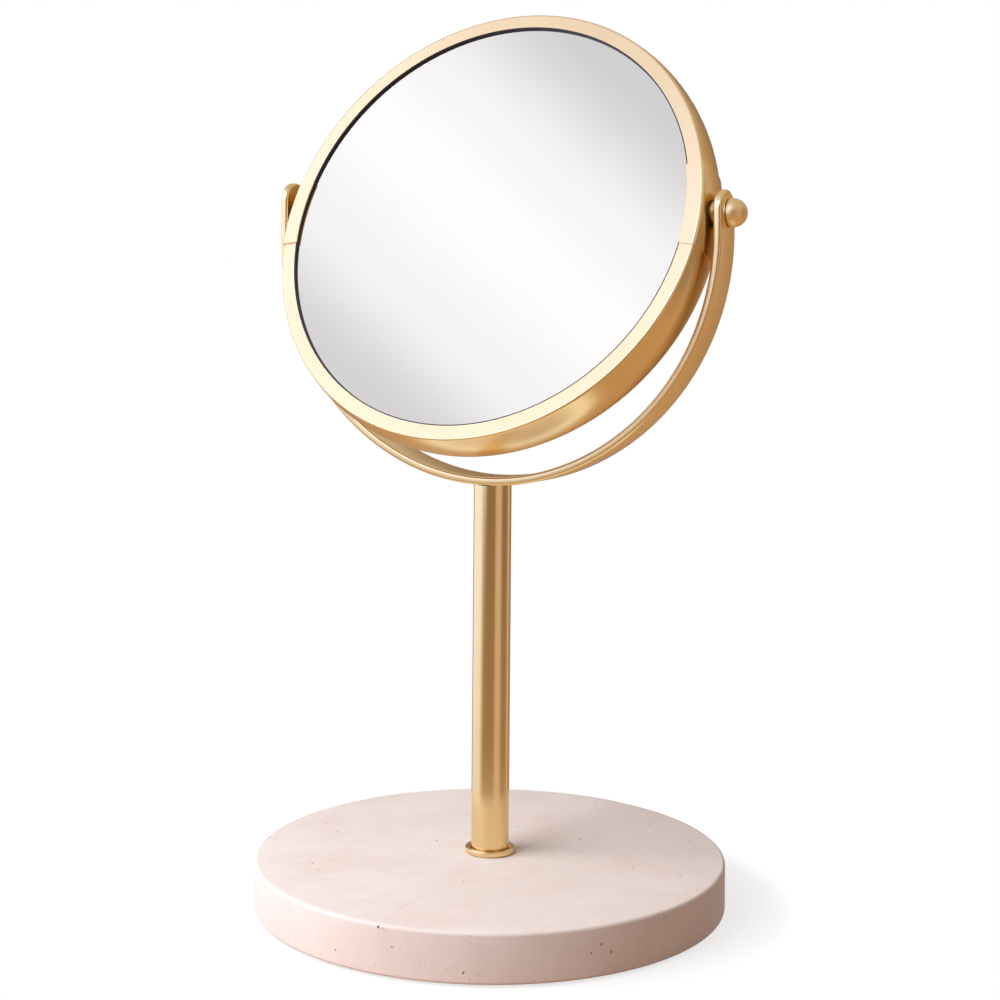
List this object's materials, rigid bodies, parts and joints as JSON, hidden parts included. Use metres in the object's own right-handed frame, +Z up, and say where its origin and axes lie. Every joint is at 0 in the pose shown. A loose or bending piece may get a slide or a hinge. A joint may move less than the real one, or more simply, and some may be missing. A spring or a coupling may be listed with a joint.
{
  "type": "vanity mirror",
  "caption": "Round two-sided vanity mirror that tilts in a half-ring brass yoke, on a round post and a thick round stone base.",
  "frame": {"origin": "centre of the base's underside, on the surface that the mirror stands on", "axes": "+Z up the post, X along the mirror's pivot axis with the dome knob at +X, -Y the side the front mirror faces"},
  "size_m": [0.224, 0.203, 0.3882],
  "materials": {
    "satin_brass": "satin, warm gold",
    "blush_stone": "smooth honed, small pits",
    "mirror_glass": "silvered",
    "dark_gasket": "matt",
    "zinc_steel": "zinc plated",
    "moulded_plastic": "matt",
    "nylon": "matt",
    "foam_pad": "closed-cell foam"
  },
  "bodies": {
    "stand": {"base_pad": "foam_pad", "base_slab": "blush_stone", "base_bolt": "zinc_steel", "base_lock_washer": "zinc_steel", "base_washer": "zinc_steel", "foot_collar": "satin_brass", "post_tube": "satin_brass", "post_foot_plug": "zinc_steel", "post_top_plug": "zinc_steel", "yoke": "satin_brass", "yoke_screw": "satin_brass"},
    "mirror_head": {"upper_rim": "satin_brass", "lower_rim": "satin_brass", "left_clip": "satin_brass", "right_clip": "satin_brass", "front_mirror": "mirror_glass", "back_mirror": "mirror_glass", "front_gasket": "dark_gasket", "back_gasket": "dark_gasket", "spacer_ring": "moulded_plastic", "left_pivot_screw": "satin_brass", "right_pivot_stud": "zinc_steel", "right_outer_washer": "satin_brass", "right_knob": "satin_brass", "left_pivot_nut": "zinc_steel", "right_pivot_nut": "zinc_steel", "left_pivot_bush": "satin_brass", "right_pivot_bush": "satin_brass", "left_spring_washer": "zinc_steel", "right_spring_washer": "zinc_steel", "left_friction_washer": "nylon", "right_friction_washer": "nylon"}
  },
  "joints": [
    {"name": "mirror_tilt", "type": "hinge", "parent": "stand", "child": "mirror_head", "pos_m": [0, 0, 0.2964], "axis": [1, 0, 0], "continuous": true}
  ]
}
